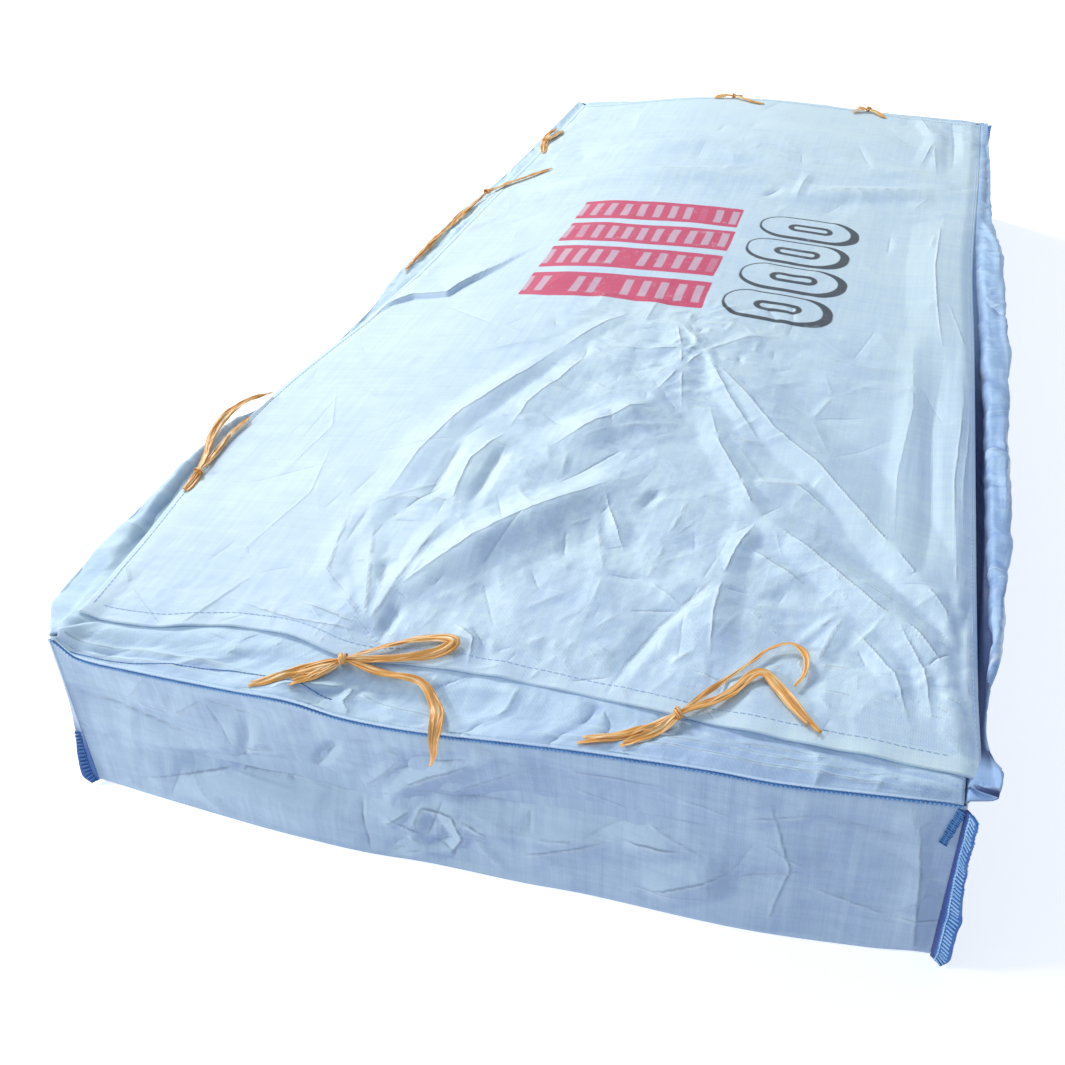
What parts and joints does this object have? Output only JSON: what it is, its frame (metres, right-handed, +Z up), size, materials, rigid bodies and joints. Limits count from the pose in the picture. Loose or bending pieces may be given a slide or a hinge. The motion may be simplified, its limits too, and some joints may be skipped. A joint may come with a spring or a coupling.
{
  "type": "asbestos disposal bag",
  "caption": "Large flat woven bag for sheet material, closed: an open tray, skirts turned in along its rim, a creased lid over them and knotted tape ties.",
  "frame": {"origin": "middle of the flat base, on its underside", "axes": "+X across the bag to the right as seen from its near end, +Y along the bag away from the near end, +Z up"},
  "size_m": [1.3742, 2.6762, 0.3475],
  "materials": {
    "wall_cloth": "coated woven plastic cloth, slightly glossy",
    "skirt_cloth": "coated woven plastic cloth, slightly glossy",
    "lid_cloth": "coated woven plastic cloth, slightly glossy, printed",
    "overlock": "thick overlocked thread",
    "tape": "thin ribbed plastic tape"
  },
  "bodies": {
    "root": {"body": "wall_cloth", "fin_front_left": "overlock", "fin_front_right": "overlock", "fin_back_right": "overlock", "fin_back_left": "overlock", "skirt_front": "skirt_cloth", "skirt_right": "skirt_cloth", "skirt_back": "skirt_cloth", "skirt_left": "skirt_cloth", "lid": "lid_cloth", "tie_front_left": "tape", "tie_front_right": "tape", "tie_left_near": "tape", "tie_left_middle": "tape", "tie_left_far": "tape", "tie_back_left": "tape", "tie_back_right": "tape"}
  },
  "joints": []
}
